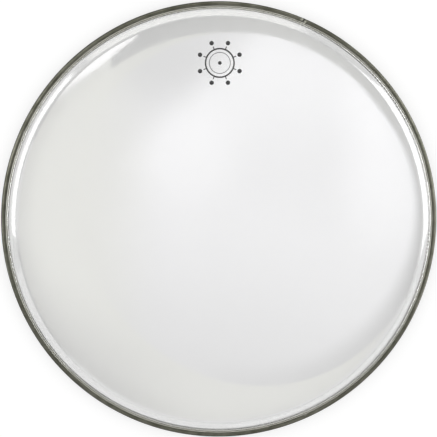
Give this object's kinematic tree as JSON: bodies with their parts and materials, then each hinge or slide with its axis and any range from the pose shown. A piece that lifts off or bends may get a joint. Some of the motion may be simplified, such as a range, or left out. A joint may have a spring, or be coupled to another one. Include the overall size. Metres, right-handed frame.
{
  "type": "drum head",
  "caption": "Clear round drum head: nested polyester films with a formed collar, cast in resin in an aluminium channel hoop that is clamped down over a drum shell.",
  "frame": {"origin": "centre of the hoop's underside, on the head's axis", "axes": "+Z along the head's axis, out of the playing side; +X and +Y lie in the plane of the hoop, with the weld at 67 degrees from +X towards +Y"},
  "size_m": [0.3714, 0.3714, 0.0159],
  "materials": {
    "hoop_aluminium": "mill finish, rolled, fine scratches along the ring",
    "weld_aluminium": "dressed weld bead",
    "cast_resin": "cured clear resin, slightly amber",
    "clear_film": "clear polished polyester film"
  },
  "bodies": {
    "root": {"flesh_hoop": "hoop_aluminium", "hoop_weld": "weld_aluminium", "casting_resin": "cast_resin", "upper_film": "clear_film", "lower_film": "clear_film"}
  },
  "joints": []
}
